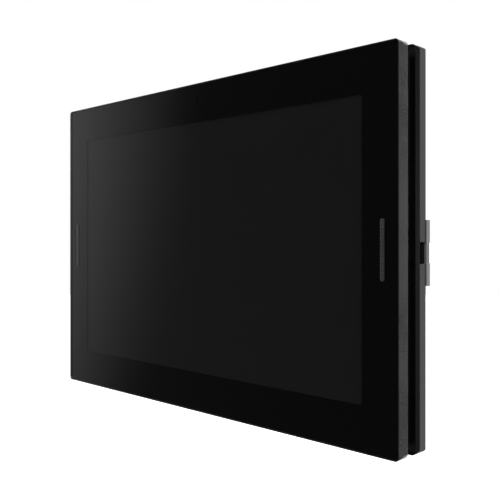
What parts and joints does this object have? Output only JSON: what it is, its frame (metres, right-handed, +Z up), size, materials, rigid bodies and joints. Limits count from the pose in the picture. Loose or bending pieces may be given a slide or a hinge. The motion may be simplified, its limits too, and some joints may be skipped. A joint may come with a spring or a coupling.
{
  "type": "smart display",
  "caption": "Wall-hung smart display with a black glass front, metal band, slit speakers, camera shutter, edge keys and a steel bracket with side latches.",
  "frame": {"origin": "centre of the bracket's hole square, on the wall plane", "axes": "+X right seen from the front, +Y from the screen towards the wall, +Z up"},
  "size_m": [0.256, 0.0255, 0.1774],
  "materials": {
    "cover_glass": "polished",
    "black_print": "satin black print",
    "screen_glass": "dark, switched off",
    "white_film": "translucent white",
    "clear_acrylic": "clear",
    "foam": "black foam rubber",
    "band_metal": "graphite anodised, satin",
    "bracket_steel": "grey powder coat",
    "bare_steel": "zinc plated",
    "black_steel": "black zinc",
    "cover_plastic": "fine moulded grain",
    "button_plastic": "polished black",
    "key_plastic": "graphite, satin",
    "shutter_plastic": "black",
    "grille_steel": "dark, pierced",
    "circuit_board": "green solder mask",
    "flex_film": "amber film",
    "chip_black": "moulded",
    "aluminium_fins": "as extruded",
    "connector_plastic": "green",
    "white_plastic": "moulded",
    "black_plastic": "moulded",
    "lens_glass": "coated",
    "lead_sleeve": "flexible sleeve",
    "lamp_strip": "white strip with yellow lamps",
    "ferrite": "sintered",
    "can_aluminium": "sleeved can"
  },
  "bodies": {
    "wall_bracket": {"bracket_plate": "bracket_steel", "hanger_studs": "bare_steel", "latch_stops": "foam"},
    "display_unit": {"cover_glass": "cover_glass", "ink_border": "black_print", "touch_film": "screen_glass", "display_gasket": "foam", "lcd_cell": "screen_glass", "optical_films": "white_film", "light_guide": "clear_acrylic", "reflector_sheet": "white_film", "backlight_frame": "white_plastic", "led_strip": "lamp_strip", "backlight_tray": "bare_steel", "foam_pads": "foam", "display_flex": "flex_film", "front_frame": "band_metal", "chassis_plate": "bare_steel", "main_board": "circuit_board", "main_board_chips": "chip_black", "shield_cans": "bare_steel", "heat_sink": "aluminium_fins", "ethernet_jack": "bare_steel", "terminal_block": "connector_plastic", "usb_port": "bare_steel", "power_board": "circuit_board", "power_transformer": "ferrite", "power_capacitors": "can_aluminium", "power_parts": "chip_black", "board_harness": "white_plastic", "left_speaker": "black_plastic", "right_speaker": "black_plastic", "left_driver": "black_plastic", "right_driver": "black_plastic", "left_grille": "grille_steel", "right_grille": "grille_steel", "speaker_leads": "lead_sleeve", "sensor_board": "circuit_board", "camera_module": "black_plastic", "camera_lens": "lens_glass", "light_sensor": "lens_glass", "microphones": "bare_steel", "wifi_antennas": "flex_film", "antenna_leads": "lead_sleeve", "key_board": "circuit_board", "key_switches": "bare_steel", "key_bracket": "bare_steel", "rear_cover": "cover_plastic", "cable_bay": "cover_plastic", "cover_screws": "black_steel", "chassis_screws": "bare_steel", "board_screws": "bare_steel", "left_release_spring": "bare_steel", "right_release_spring": "bare_steel"},
    "privacy_shutter": {"privacy_shutter": "shutter_plastic"},
    "power_button": {"power_button": "key_plastic"},
    "volume_rocker": {"volume_rocker": "key_plastic"},
    "left_release_button": {"left_release_button": "button_plastic"},
    "right_release_button": {"right_release_button": "button_plastic"}
  },
  "joints": [
    {"name": "display_lift", "type": "slide", "parent": "wall_bracket", "child": "display_unit", "axis": [0, 0, 1], "range_m": [0, 0.007]},
    {"name": "right_release_press", "type": "slide", "parent": "display_unit", "child": "right_release_button", "axis": [-1, 0, 0], "range_m": [0, 0.0028], "stiffness_N_per_m": 800, "springref_m": -0.002, "deforming": ["right_release_spring"]},
    {"name": "left_release_press", "type": "slide", "parent": "display_unit", "child": "left_release_button", "axis": [1, 0, 0], "range_m": [0, 0.0028], "stiffness_N_per_m": 800, "springref_m": -0.002, "deforming": ["left_release_spring"]},
    {"name": "power_press", "type": "slide", "parent": "display_unit", "child": "power_button", "axis": [0, 0, -1], "range_m": [0, 0.00055], "stiffness_N_per_m": 2500, "springref_m": -0.0002},
    {"name": "volume_rock", "type": "hinge", "parent": "display_unit", "child": "volume_rocker", "pos_m": [0.072, -0.021, 0.0856], "axis": [0, 1, 0], "range_deg": [-2.5, 2.5], "stiffness_Nm_per_rad": 0.35},
    {"name": "shutter_slide", "type": "slide", "parent": "display_unit", "child": "privacy_shutter", "axis": [-1, 0, 0], "range_m": [0, 0.006]}
  ]
}
